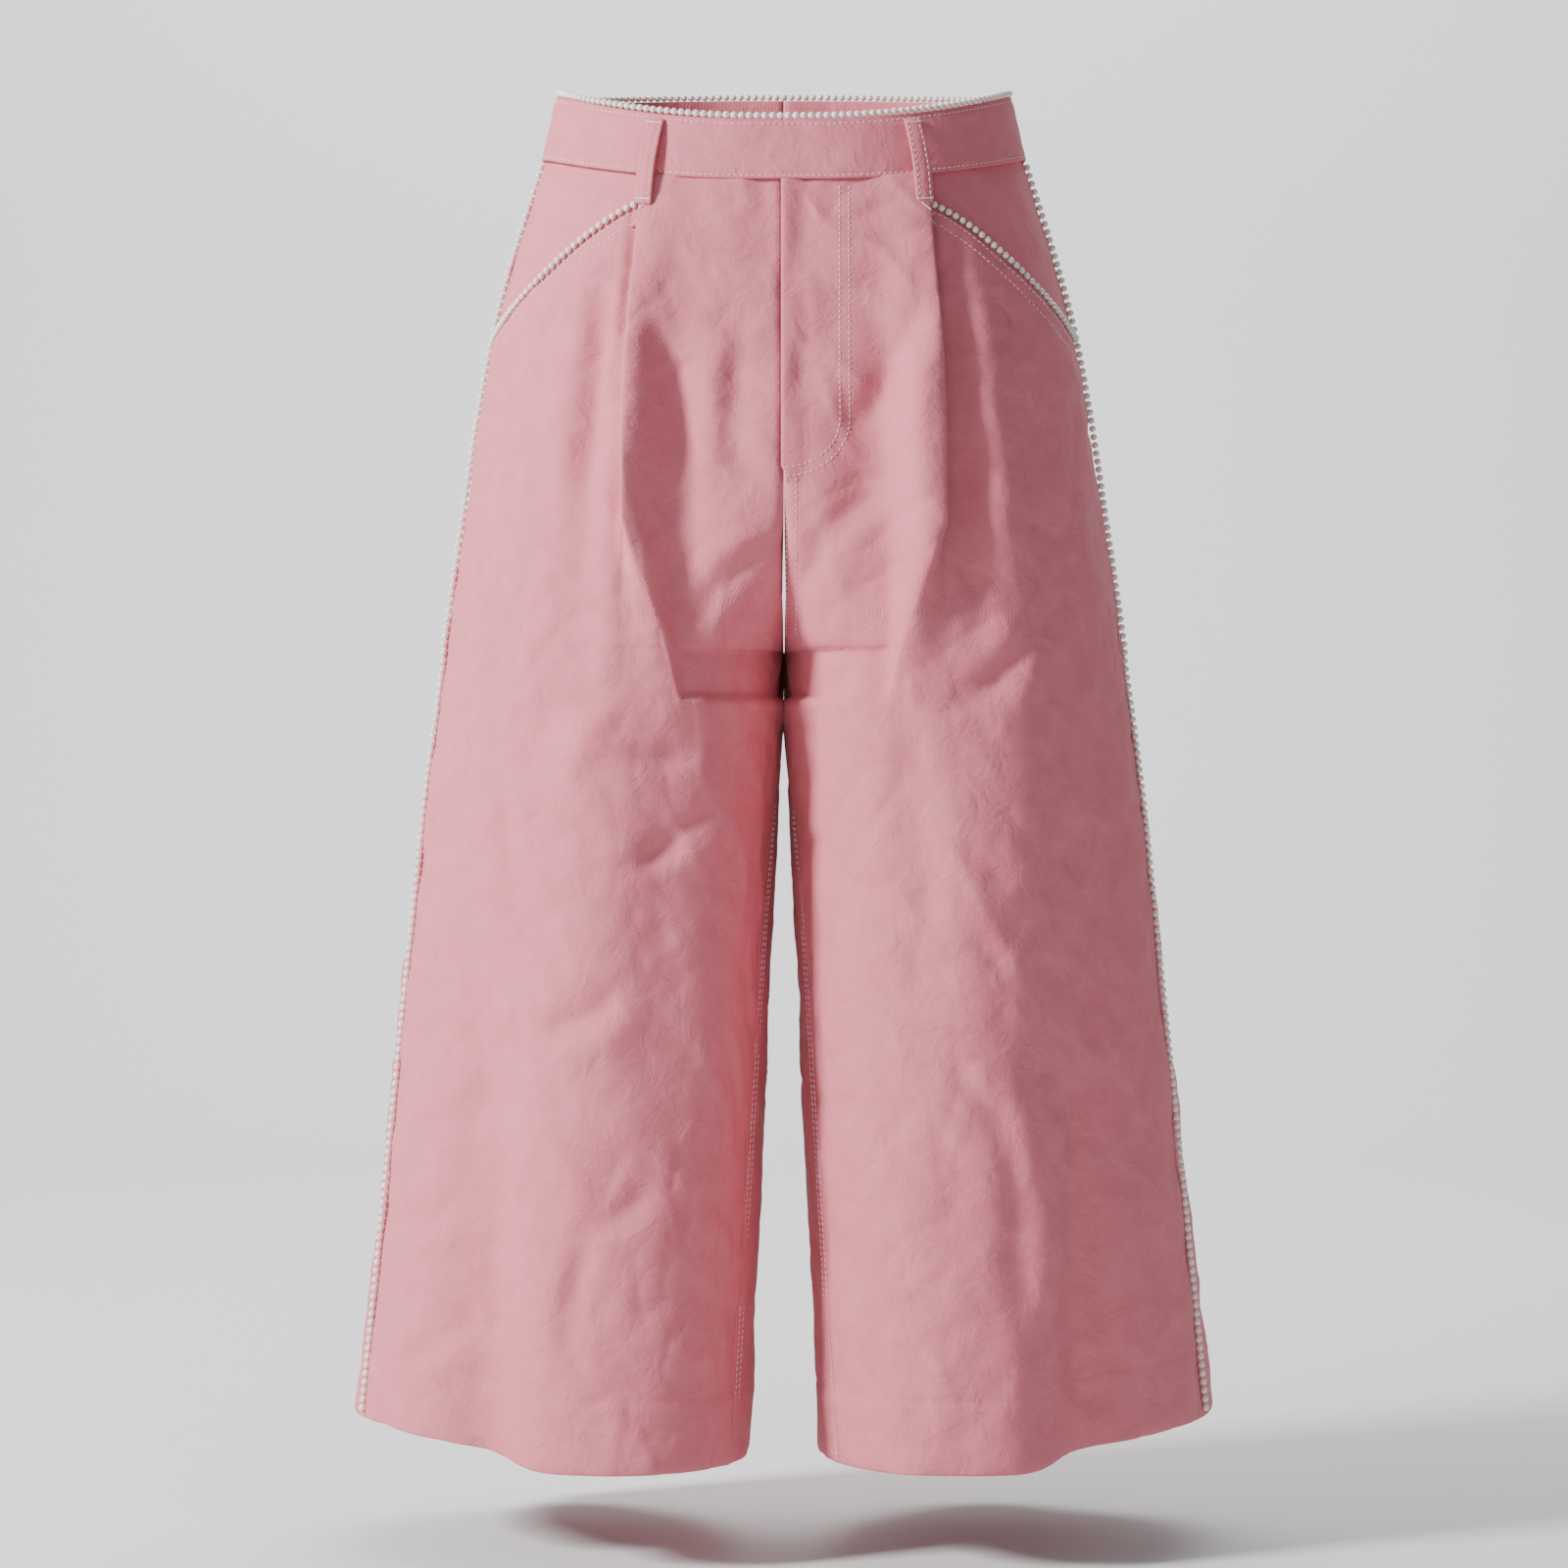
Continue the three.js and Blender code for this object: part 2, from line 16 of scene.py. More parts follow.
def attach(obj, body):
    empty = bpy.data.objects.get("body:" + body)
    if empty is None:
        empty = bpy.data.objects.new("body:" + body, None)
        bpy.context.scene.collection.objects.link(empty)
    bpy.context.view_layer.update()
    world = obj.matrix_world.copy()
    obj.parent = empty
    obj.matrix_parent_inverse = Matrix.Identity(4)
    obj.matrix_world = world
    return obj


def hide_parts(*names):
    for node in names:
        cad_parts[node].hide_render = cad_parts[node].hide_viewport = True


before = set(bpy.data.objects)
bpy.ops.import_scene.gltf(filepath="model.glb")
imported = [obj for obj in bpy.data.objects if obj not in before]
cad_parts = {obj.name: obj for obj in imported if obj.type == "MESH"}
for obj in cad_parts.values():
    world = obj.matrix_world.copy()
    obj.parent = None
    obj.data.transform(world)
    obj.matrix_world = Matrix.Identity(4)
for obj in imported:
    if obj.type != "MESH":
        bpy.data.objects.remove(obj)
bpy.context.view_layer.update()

MM = 0.001
LEFT, RIGHT, BOTH = 1, -1, 0
NAMES = {LEFT: "left", RIGHT: "right"}

# ---- Cut and fit ---------------------------------------------------------------------------------

WAIST_TOP, WAIST_SEAM, CROTCH, HEM = 22.0, -14.4, -296.0, -727.0
WAIST_DROP, WAIST_LIFT, TIP_POWER = 26.0, 13.0, 1.5  # how the waist tips forwards
HEM_DROP, HEM_DROP_FROM, HEM_DROP_TO = 17.5, 0.95, 0.45  # how the hem dips towards the front and inner leg
CROTCH_RISE, CROTCH_Y, FRONT_RECESS = 96.0, -8.0, 3.0
ROUND, INNER_ROUND, GENTLE = 0.5523, 0.62, 1 / 3  # fullness of the plan arcs
CLOTH = 0.8
SEAM_GAP = 0.3
HEM_TURN = 37.0
HEM_PLY = 1.3
BAND_WALL = 2.4

SHAPE_COLUMNS = "level wide front back ridge seat side_y gap inner_y side_at inseam_at".split()
SHAPE = [
    (22, 127.5, 91, 92, 12, 12, 0, 0, -8, 1, 0),
    (-16, 136.5, 96, 97, 18, 16, 0, 0, -8, 1, 0),
    (-56, 149, 101, 108, 42, 32, 0, 0, -8, 1, 0),
    (-100, 161.5, 106, 119, 66, 50, 0, 0, -8, 1, 0),
    (-146, 171, 110, 126, 78, 66, 2, 0, -8, 1, 0),
    (-213, 181, 114, 129, 86, 80, 4, 0, -8, 0.945, 0),
    (-296, 193.5, 118, 127, 90, 92, 7, 0.7, -8, 0.9, 0),
    (-370, 204.5, 121, 125, 92, 100, 10, 3.4, -13, 0.86, 0.14),
    (-450, 214, 124, 125, 93, 106, 13, 7, -19, 0.83, 0.24),
    (-600, 231, 129, 128, 95, 114, 18, 14, -28, 0.8, 0.31),
    (-727, 246, 132, 132, 96, 120, 20, 20, -35, 0.775, 0.35),
]
PLEAT_COLUMNS = "level x lap rise".split()
PLEAT = [
    (-14, 77, 14, 3.6),
    (-60, 81, 14, 5.2),
    (-100, 84.5, 12, 6.6),
    (-146, 87, 9, 8),
    (-190, 88, 4, 9.5),
    (-235, 89, -8, 10),
    (-285, 91, -24, 7.5),
    (-340, 92, -40, 3),
    (-400, 93, -52, 0.01),
]
PLEAT_RUN, PLEAT_OPEN, PLEAT_ROLL = 34.0, 20.0, 7.0
PLEAT_VALLEY = 3.2
LEFT_PLEAT_DEEPER = 1.3
CREASE_DEPTH = 1.1
CRUMPLE_STRETCH = 0.4  # crumples run longer than they are wide

# Broad hollows down the cloth: side, x and level at the top, x and level at the foot, half width,
# height at each.
FOLD_ENDS = 45.0
FRONT_FOLDS = [
    (BOTH, 166, -240, 172, -800, 26, 0, -26),
    (LEFT, 66, -60, 46, -200, 15, -2, -5),
    (RIGHT, 62, -90, 56, -260, 16, -3, -7),
]
BACK_FOLDS = [
    (BOTH, 168, -230, 186, -800, 30, 0, -14),
    (BOTH, 52, -300, 60, -800, 26, 0, -7),
]
# Creases: side, x and z where each starts and where it ends, sideways bow, half width, height
# (troughs are negative).
FRONT_CREASES = [
    (RIGHT, 98, -92, 106, -232, 2, 8, -4),
    (RIGHT, 88, -150, 92, -330, 3, 10, 4.2),
    (RIGHT, 62, -330, 66, -560, 4, 16, -2.4),
    (RIGHT, 128, -300, 136, -470, 4, 14, -2),
    (RIGHT, 92, -325, 121, -366, 2, 10, 3.5),
    (RIGHT, 75, -110, 54, -194, -3, 11, -5),
    (RIGHT, 24, -122, 25, -210, 2, 9, -3.2),
    (RIGHT, 2, -236, 50, -288, 6, 7, -3.2),
    (RIGHT, 4, -262, 34, -300, 3, 6, -2),
    (RIGHT, 93, -356, 46, -350, 3, 6, -2.4),
    (RIGHT, 84, -416, 36, -376, 4, 7, -3.2),
    (RIGHT, 136, -506, 88, -481, 5, 8, -4.2),
    (RIGHT, 103, -611, 70, -587, 3, 7, -2.8),
    (RIGHT, 104, -613, 117, -688, 4, 7, -2.6),
    (RIGHT, 212, -690, 180, -658, 3, 7, -2.6),
    (RIGHT, 212, -618, 180, -592, 3, 7, -2.6),
    (RIGHT, 173, -280, 158, -514, 4, 10, 3.2),
    (RIGHT, 146, -150, 128, -232, 5, 10, -1.8),
    (LEFT, 91, -84, 106, -290, 2, 9, -6.5),
    (LEFT, 66, -120, 74, -262, 2, 10, 3.4),
    (LEFT, 128, -140, 140, -286, 4, 12, -2.4),
    (LEFT, 60, -318, 78, -500, 5, 14, -2.6),
    (LEFT, 77, -87, 32, -184, 9, 9, -3.6),
    (LEFT, 50, -210, 8, -262, -5, 8, -2.4),
    (LEFT, 136, -287, 94, -330, 4, 8, -3.6),
    (LEFT, 168, -322, 160, -548, 3, 9, 3.2),
    (LEFT, 160, -544, 150, -674, -4, 9, 3.2),
    (LEFT, 150, -668, 164, -718, 0, 8, 2.2),
    (LEFT, 171, -110, 177, -254, 3, 6, -2),
    (LEFT, 90, -404, 123, -425, 3, 5, -1.9),
    (LEFT, 97, -451, 124, -479, 3, 5, -1.9),
    (LEFT, 94, -527, 119, -564, 3, 6, -2.1),
    (LEFT, 117, -541, 129, -672, 4, 8, -2.6),
    (LEFT, 30, -420, 62, -452, 3, 7, -1.8),
]
BACK_CREASES = [
    (LEFT, 12, -268, 74, -318, 8, 9, -4),
    (LEFT, 66, -120, 88, -236, 5, 12, -2.4),
    (LEFT, 128, -210, 150, -330, 5, 10, -2.6),
    (LEFT, 60, -372, 112, -398, 5, 8, -2.8),
    (LEFT, 140, -462, 96, -506, 5, 8, -3.2),
    (LEFT, 122, -556, 134, -700, 5, 10, -3),
    (LEFT, 60, -610, 84, -668, 4, 8, -2.2),
    (RIGHT, 10, -262, 80, -306, 9, 9, -4.2),
    (RIGHT, 76, -130, 94, -250, 5, 12, -2.2),
    (RIGHT, 136, -250, 156, -352, 5, 10, -2.4),
    (RIGHT, 84, -404, 40, -436, 5, 8, -2.8),
    (RIGHT, 150, -500, 106, -536, 5, 8, -3),
    (RIGHT, 116, -590, 130, -712, 5, 10, -3),
]

MOUTH_TOP, MOUTH_END, MOUTH_BEND = (79.0, -52.0), (166.5, -122.0), 1.3  # x and z of the slanted pocket mouth
PLEAT_HIDES = 3.0
BEARER_UNDER, BEARER_SINK = 9.0, 2.0
FLY_END, FLY_FOOT, FLY_LAP, FLY_SWELL, FLY_RISE = -190.0, 5.0, 1.6, 12.0, 2.0
LOOP_TOP, LOOP_FOOT, LOOP_X_TOP, LOOP_X_FOOT = 19.0, -32.0, 69.0, 76.0
LOOP_WIDTH, LOOP_WALL, LOOP_BOW = 10.0, 2.0, 3.4
PEARL = 3.9
WAIST_SPACING, SIDE_SPACING, POCKET_SPACING = 4.25, 4.8, 4.45
PITCH, STITCH, THREAD = 3.3, 2.4, 0.55


def smooth(x, low, high):
    t = np.clip((np.asarray(x, float) - low) / (high - low), 0, 1)
    return t * t * (3 - 2 * t)


def read(columns, table, level):
    """One row of a table at a level between its own, by cubic steps."""
    rows = np.array(table, float)
    levels = rows[:, 0]
    last = len(rows) - 1
    at = min(max(level, levels[-1]), levels[0])
    i = 0
    while i < last - 1 and at < levels[i + 1]:
        i += 1
    span = levels[i + 1] - levels[i]
    t = (at - levels[i]) / span

    def slope(j):
        a, b = max(j - 1, 0), min(j + 1, last)
        return (rows[b] - rows[a]) / (levels[b] - levels[a]) * span

    t2, t3 = t * t, t * t * t
    row = (2 * t3 - 3 * t2 + 1) * rows[i] + (t3 - 2 * t2 + t) * slope(i)
    row += (3 * t2 - 2 * t3) * rows[i + 1] + (t3 - t2) * slope(i + 1)
    row[0] = level
    return dict(zip(columns, row))


class Walk:
    """A plan outline walked by distance, with the cloth's outer side on the right."""

    def __init__(self, *arcs):
        points = np.vstack(arcs)
        step = np.linalg.norm(np.diff(points, axis=0), axis=1)
        self.points = points[np.concatenate([[True], step > 1e-4])]
        step = np.linalg.norm(np.diff(self.points, axis=0), axis=1)
        self.far = np.concatenate([[0], np.cumsum(step)])
        self.length = self.far[-1]
        self.ways = np.gradient(self.points, self.far, axis=0)

    def at(self, s):
        """Points at distances s, and the outward directions there."""
        s = np.asarray(s, float)
        i = np.clip(np.searchsorted(self.far, s), 1, len(self.far) - 1)
        t = ((s - self.far[i - 1]) / (self.far[i] - self.far[i - 1]))[..., None]
        point = self.points[i - 1] * (1 - t) + self.points[i] * t
        t = np.clip(t, 0, 1)
        way = self.ways[i - 1] * (1 - t) + self.ways[i] * t
        way /= np.linalg.norm(way, axis=-1, keepdims=True)
        return point, np.stack([way[..., 1], -way[..., 0]], axis=-1)

    def first(self, test, start=0.0):
        """The first distance past start at which test(x, y) turns positive."""
        value = test(self.points[:, 0], self.points[:, 1])
        for i in range(1, len(value)):
            if self.far[i] > start and value[i - 1] <= 0 < value[i]:
                t = value[i - 1] / (value[i - 1] - value[i])
                return max(start, self.far[i - 1] + t * (self.far[i] - self.far[i - 1]))
        return self.length


def arc(a, b, c, d, low=0.0, high=1.0):
    """Points along a cubic Bezier arc, from one share of it to another."""
    t = np.linspace(low, high, 48)[:, None]
    a, b, c, d = (np.array(p, float) for p in (a, b, c, d))
    return a * (1 - t) ** 3 + 3 * b * t * (1 - t) ** 2 + 3 * c * t * t * (1 - t) + d * t**3


def lerp(a, b, t):
    return a + (b - a) * t


made_outlines = {}


def outline(level):
    """The plan outline at a level: its table row and the walks round its front and its back."""
    key = round(level, 4)
    if key not in made_outlines:
        made_outlines[key] = make_outline(level)
    return made_outlines[key]


def make_outline(level):
    row = read(SHAPE_COLUMNS, SHAPE, level)
    side_at, inseam_at = min(row["side_at"], 1), max(row["inseam_at"], 0)
    up = min(max((level - CROTCH) / CROTCH_RISE, 0), 1)
    reach = math.sqrt(1 - (1 - up) ** 2)
    turn = math.pi / 2 * (1 - float(smooth(up, 0, 1)))
    legs = level <= CROTCH
    if legs:
        inner_x = max(row["gap"], 0.65)
        front_y = back_y = row["inner_y"]
    else:
        inner_x = 0.5 * math.sin(turn) + 0.15
        front_y = lerp(CROTCH_Y, FRONT_RECESS * (1 - up) - row["front"], reach)
        back_y = lerp(CROTCH_Y, row["back"], reach)
    ridge, seat = (row["ridge"], -row["front"]), (row["seat"], row["back"])
    side = (row["wide"], row["side_y"])
    bent = turn / (math.pi / 2)

    def inner(y, to, sign):
        dx, dy = to[0] - inner_x, abs(to[1] - y)
        first = lerp(dx * GENTLE, max(dy, dx * GENTLE * (1 - bent)) * INNER_ROUND, bent)
        start = (inner_x + math.cos(turn) * first, y + sign * math.sin(turn) * first)
        return (inner_x, y), start, (to[0] - dx * lerp(GENTLE, INNER_ROUND, bent), to[1]), to

    def outer(a, b):
        return a, (lerp(a[0], b[0], ROUND), a[1]), (b[0], lerp(b[1], a[1], ROUND)), b

    front_inner, back_inner = inner(front_y, ridge, -1), inner(back_y, seat, 1)
    front_outer, back_outer = outer(ridge, side), outer(seat, side)
    back = [arc(*front_outer, side_at, 1), arc(*back_outer, 1, 0), arc(*back_inner, 1, 0)]
    if legs:
        back.append(arc(*front_inner, 0, inseam_at))
    front = Walk(arc(*front_inner, inseam_at, 1), arc(*front_outer, 0, side_at))
    return row, front, Walk(*back)


def drop(row, x, y):
    """How far points of a level lie above its height at the side seam."""
    waist = min(max((row["level"] - CROTCH) / (WAIST_TOP - CROTCH), 0), 1)
    ahead = np.clip(-y / row["front"], 0, None) ** TIP_POWER
    behind = np.clip(y / row["back"], 0, None) ** TIP_POWER
    leg = min(max((CROTCH - row["level"]) / (CROTCH - HEM), 0), 1)
    across = (x - row["gap"]) / (row["wide"] - row["gap"])
    dip = 1 - smooth(across, HEM_DROP_TO, HEM_DROP_FROM)
    return waist * (WAIST_LIFT * behind - WAIST_DROP * ahead) - leg * HEM_DROP * dip


def folds(table, side, level, x):
    total = np.zeros_like(x)
    for which, x0, top, x1, foot, half, high, low in table:
        if which in (BOTH, side):
            t = np.clip((level - top) / (foot - top), 0, 1)
            fade = 1 - smooth(max(level - top, foot - level, 0), 0, FOLD_ENDS)
            total += lerp(high, low, t) * np.exp(-(((x - lerp(x0, x1, t)) / half) ** 2)) * fade
    return total


def creases(table, side, x, z):
    """Soft troughs and ridges as listed, each with a slight swell beside it, fading out at both ends."""
    total = np.zeros_like(x)
    for which, x0, z0, x1, z1, bow, half, high in table:
        if which not in (BOTH, side):
            continue
        along = np.array([x1 - x0, z1 - z0])
        length = np.linalg.norm(along)
        along = along / length
        u = ((x - x0) * along[0] + (z - z0) * along[1]) / length
        off = -(x - x0) * along[1] + (z - z0) * along[0] - bow * 4 * u * (1 - u)
        width = half * (0.75 + 0.5 * np.clip(u, 0, 1))
        ends = smooth(u, -0.18, 0.3) * (1 - smooth(u, 0.65, 1.18))
        total += CREASE_DEPTH * high * ends * np.exp(-((off / width) ** 2))
        total -= 0.4 * CREASE_DEPTH * high * ends * np.exp(-(((off - 1.9 * width) / (1.2 * width)) ** 2))
    return total


def ripple(points, scale, height):
    """Uneven small ripples, in mm, for points in mm."""
    flat_points = points.reshape(-1, 3) / scale
    values = [noise.noise(Vector(p)) for p in flat_points]
    return height * np.array(values).reshape(points.shape[:-1])


def crumple(points, lean, scale, height):
    """Sharp little creases that lean one way, as pressed cotton takes them, with smooth cloth between."""
    x, y, z = np.moveaxis(points, -1, 0)
    across = x * math.cos(lean) + z * math.sin(lean)
    along = z * math.cos(lean) - x * math.sin(lean)
    turned = np.stack([across, y, along * CRUMPLE_STRETCH], axis=-1)
    ridges = 1 - np.abs(ripple(turned, scale, 2.4))
    patches = smooth(ripple(points, 90, 1.0), -0.25, 0.35)
    return height * np.clip(ridges, 0, 1) ** 3 * (0.35 + 0.65 * patches)


# ---- Materials -----------------------------------------------------------------------------------


def new_material(name, **values):
    material = bpy.data.materials.new(name)
    material.use_nodes = True
    shader = material.node_tree.nodes["Principled BSDF"]
    for key, value in values.items():
        shader.inputs[key.replace("_", " ")].default_value = value
    return material, material.node_tree, shader


def cotton_twill():
    """Dusty pink cotton with fine diagonal ribs, slubs and a faint bloom."""
    material, tree, shader = new_material("cotton twill", Roughness=0.82)
    shader.inputs["Sheen Weight"].default_value = 0.08
    shader.inputs["Sheen Roughness"].default_value = 0.4
    shader.inputs["Sheen Tint"].default_value = (1.0, 0.86, 0.88, 1)
    shader.inputs["Specular IOR Level"].default_value = 0.3
    nodes, link = tree.nodes, tree.links.new
    uv = nodes.new("ShaderNodeUVMap")
    uv.uv_map = "cloth"
    place = nodes.new("ShaderNodeTexCoord")
    ribs = nodes.new("ShaderNodeTexWave")
    ribs.bands_direction = "DIAGONAL"
    ribs.inputs["Scale"].default_value = 300
    ribs.inputs["Distortion"].default_value = 1.2
    ribs.inputs["Detail Scale"].default_value = 0.6
    grain = nodes.new("ShaderNodeTexNoise")
    grain.inputs["Scale"].default_value = 1400
    grain.inputs["Detail"].default_value = 2
    wash = nodes.new("ShaderNodeTexNoise")
    wash.inputs["Scale"].default_value = 60
    wash.inputs["Detail"].default_value = 7
    wash.inputs["Roughness"].default_value = 0.55
    wash.inputs["Distortion"].default_value = 0.6
    link(uv.outputs["UV"], ribs.inputs["Vector"])
    link(place.outputs["Object"], grain.inputs["Vector"])
    link(place.outputs["Object"], wash.inputs["Vector"])

    shade = nodes.new("ShaderNodeMix")
    shade.data_type = "RGBA"
    shade.inputs["A"].default_value = (0.52, 0.120, 0.155, 1)
    shade.inputs["B"].default_value = (0.78, 0.250, 0.300, 1)
    blend = nodes.new("ShaderNodeMix")
    blend.inputs["Factor"].default_value = 0.5
    link(grain.outputs["Fac"], blend.inputs["A"])
    link(wash.outputs["Fac"], blend.inputs["B"])
    link(blend.outputs["Result"], shade.inputs["Factor"])
    link(shade.outputs["Result"], shader.inputs["Base Color"])

    ribbed = nodes.new("ShaderNodeBump")
    ribbed.inputs["Strength"].default_value = 0.3
    ribbed.inputs["Distance"].default_value = 0.0002
    link(ribs.outputs["Fac"], ribbed.inputs["Height"])
    crumpled = nodes.new("ShaderNodeBump")
    crumpled.inputs["Strength"].default_value = 0.55
    crumpled.inputs["Distance"].default_value = 0.003
    link(wash.outputs["Fac"], crumpled.inputs["Height"])
    link(ribbed.outputs["Normal"], crumpled.inputs["Normal"])
    link(crumpled.outputs["Normal"], shader.inputs["Normal"])
    return material


def ivory_pearl():
    material, _, shader = new_material("ivory pearl", Roughness=0.24)
    shader.inputs["Base Color"].default_value = (0.80, 0.74, 0.69, 1)
    shader.inputs["Coat Weight"].default_value = 0.9
    shader.inputs["Coat Roughness"].default_value = 0.1
    shader.inputs["Subsurface Weight"].default_value = 0.15
    shader.inputs["Subsurface Scale"].default_value = 0.001
    return material


def sewing_thread():
    material, _, shader = new_material("off-white thread", Roughness=0.6)
    shader.inputs["Base Color"].default_value = (0.84, 0.62, 0.63, 1)
    shader.inputs["Sheen Weight"].default_value = 0.2
    return material


COTTON, PEARLY, SEWING = cotton_twill(), ivory_pearl(), sewing_thread()

# ---- Meshes --------------------------------------------------------------------------------------


def cloth_object(name, points, uv, closed=False, caps=False):
    """A piece of cloth from a grid of points in mm. closed joins its last column to its first."""
    rows, columns = points.shape[:2]
    faces, loops = [], []
    for i in range(rows - 1):
        for j in range(columns - (0 if closed else 1)):
            k = (j + 1) % columns
            faces.append((i * columns + j, (i + 1) * columns + j, (i + 1) * columns + k, i * columns + k))
            after = min(j + 1, columns - 1)
            loops += [uv[i, j], uv[i + 1, j], uv[i + 1, after], uv[i, after]]
    if caps:
        for row in (range(columns), reversed(range((rows - 1) * columns, rows * columns))):
            face = tuple(row)
            faces.append(face)
            loops += [uv.reshape(-1, 2)[v] for v in face]
    mesh = bpy.data.meshes.new(name)
    mesh.from_pydata((points.reshape(-1, 3) * MM).tolist(), [], faces)
    layer = mesh.uv_layers.new(name="cloth")
    layer.data.foreach_set("uv", (np.array(loops) * MM).ravel())
    mesh.materials.append(COTTON)
    mesh.shade_smooth()
    piece = bpy.data.objects.new(name, mesh)
    bpy.context.collection.objects.link(piece)
    return piece


def face_out(piece, outwards):
    """Turns the faces round if most of them look against the outward directions given for its vertices."""
    mesh = piece.data
    looks = sum(v.normal.dot(Vector(o)) for v, o in zip(mesh.vertices, outwards))
    if looks < 0:
        mesh.flip_normals()


def shell(piece, wall):
    made = piece.modifiers.new("cloth thickness", "SOLIDIFY")
    made.thickness = wall * MM
    made.offset = 0


def edge_spaced(start, end, count):
    """Distances from start to end, close together next to both edges so that a seam can dip."""
    near = np.array([0, 0.7, 1.6, 3.0])
    inside = np.linspace(start + 5.5, end - 5.5, count)
    return np.concatenate([start + near, inside, (end - near)[::-1]])


def panel_levels():
    """Levels down a panel and, past the hem, up its turned-in allowance, each with its sink inwards."""
    steps = [
        np.arange(WAIST_SEAM + 1.2, -135, -2.5),
        np.arange(-135, -200, -3.5),
        np.arange(-200, -282, -2.6),
        np.arange(-282, CROTCH, -1.4),
        np.arange(CROTCH, -330, -3),
        np.arange(-330, HEM + HEM_TURN + 4, -4.5),
        np.arange(HEM + HEM_TURN + 4, HEM + HEM_TURN - 6, -1.4),
        np.arange(HEM + HEM_TURN - 6, HEM + 1.6, -4),
    ]
    rows = [(level, 0.0) for level in np.concatenate(steps)]
    rows += [(HEM + 0.8, 0.05), (HEM + 0.15, 0.3), (HEM, HEM_PLY / 2), (HEM + 0.15, HEM_PLY - 0.3)]
    rows += [(HEM + up, HEM_PLY) for up in np.linspace(1.5, HEM_TURN, 8)]
    return rows


def mouth_z(x):
    share = np.clip((x - MOUTH_TOP[0]) / (MOUTH_END[0] - MOUTH_TOP[0]), 0, None)
    return MOUTH_TOP[1] - (MOUTH_TOP[1] - MOUTH_END[1]) * share**MOUTH_BEND


def front_profile(side, level, row, walk):
    """Distances round the front at a level and how far the cloth stands out there, pleat and fly included."""
    pleat = read(PLEAT_COLUMNS, PLEAT, level)
    rise = pleat["rise"] if level > PLEAT[-1][0] else 0.0
    if side == LEFT:
        rise *= LEFT_PLEAT_DEEPER
    lap = pleat["lap"]
    edge = walk.first(lambda x, y: x - pleat["x"])
    back_to = edge - lap

    def above(x, y):
        return -(level + drop(row, x, y) - mouth_z(x))

    x_edge, y_edge = walk.at(edge)[0]
    x_end, y_end = walk.at(walk.length)[0]
    mouth = False
    if above(x_edge, y_edge) < 0:
        end = edge - PLEAT_HIDES
    elif above(x_end, y_end) < 0:
        end = walk.first(lambda x, y: -above(x, y), edge)
        mouth = True
    else:
        end = walk.length - SEAM_GAP / 2
    flown = side == LEFT and level > FLY_END
    lifted = side == LEFT and level > FLY_END - FLY_FOOT
    start = -FLY_LAP if flown else SEAM_GAP / 2

    roll = PLEAT_ROLL * (1 - smooth(-lap, 0, PLEAT_OPEN)) + max(lap, -lap / 3)
    t = np.linspace(0, 1, 26)[1:-1]
    over = 3 * t * (1 - t) ** 2 * roll + 3 * t * t * (1 - t) * (-lap - roll) + t**3 * -lap
    lead = max(over.max(), 0)
    near = np.array([0, 0.7, 1.6, 3.0])
    centre = np.concatenate([start + near, np.linspace(start + 5.5, edge - lead, 30)])
    s_fold = edge - lead + over
    n_fold = rise * (1 - t) ** 2 * (1 + 2 * t)
    after = back_to - lead
    side_part = after + (end - after) * np.concatenate([np.linspace(0, 0.97, 44), [0.985, 0.994, 1]])
    n_centre = rise * smooth(centre, edge - PLEAT_RUN, edge - lead)
    s = np.concatenate([centre, s_fold, side_part])
    kept_deep = 1 - float(smooth(-lap, -4, 14))
    n_side = -PLEAT_VALLEY * kept_deep * np.exp(-(((side_part - edge - 3) / 3.4) ** 2))
    n = np.concatenate([n_centre, n_fold, n_side])
    if lifted:
        n = n + FLY_RISE * (1 - smooth(s, 0, FLY_SWELL))
        n = n - 0.5 * np.exp(-(((s - start) / 0.6) ** 2))
    else:
        deep = float(smooth(level, CROTCH, CROTCH + 60))
        sunk, reach = lerp(0.8, 2.2, deep), lerp(1.3, 2.2, deep)
        faces_ahead = np.clip(-walk.at(s)[1][:, 1], 0, 1) if level > CROTCH else 1
        n = n - sunk * faces_ahead * np.exp(-(((s - start) / reach) ** 2))
    if not mouth:
        n[-47:] -= 0.8 * np.exp(-(((side_part - end) / 1.3) ** 2))
    return s, n


def back_profile(level, row, walk):
    s = edge_spaced(SEAM_GAP / 2, walk.length - SEAM_GAP / 2, 96)
    n = -0.8 * np.exp(-((s / 1.3) ** 2)) - 0.8 * np.exp(-(((walk.length - s) / 1.3) ** 2))
    return s, n


